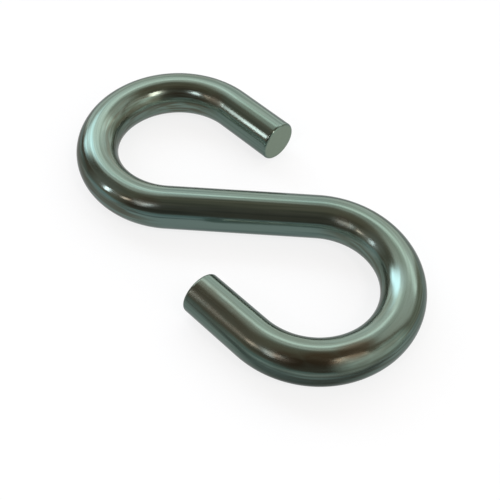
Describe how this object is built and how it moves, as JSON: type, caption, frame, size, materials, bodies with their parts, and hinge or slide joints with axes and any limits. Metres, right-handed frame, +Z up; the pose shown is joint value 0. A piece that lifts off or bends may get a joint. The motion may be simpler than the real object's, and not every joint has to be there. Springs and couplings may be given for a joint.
{
  "type": "s hook",
  "caption": "Round steel rod bent into an S with an open hook at each end, to join a ring, chain or cord to an eye or a bar.",
  "frame": {"origin": "on the surface that the hook lies on, under the middle of its shank", "axes": "the hook lies flat in the XY plane; +X runs along the load line, from the centre of hook A's bend to the centre of hook B's bend; +Z is up, square to the plane of the hook"},
  "size_m": [0.06, 0.031, 0.006],
  "materials": {
    "plated_steel": "polished"
  },
  "bodies": {
    "root": {"s_hook": "plated_steel"}
  },
  "joints": []
}
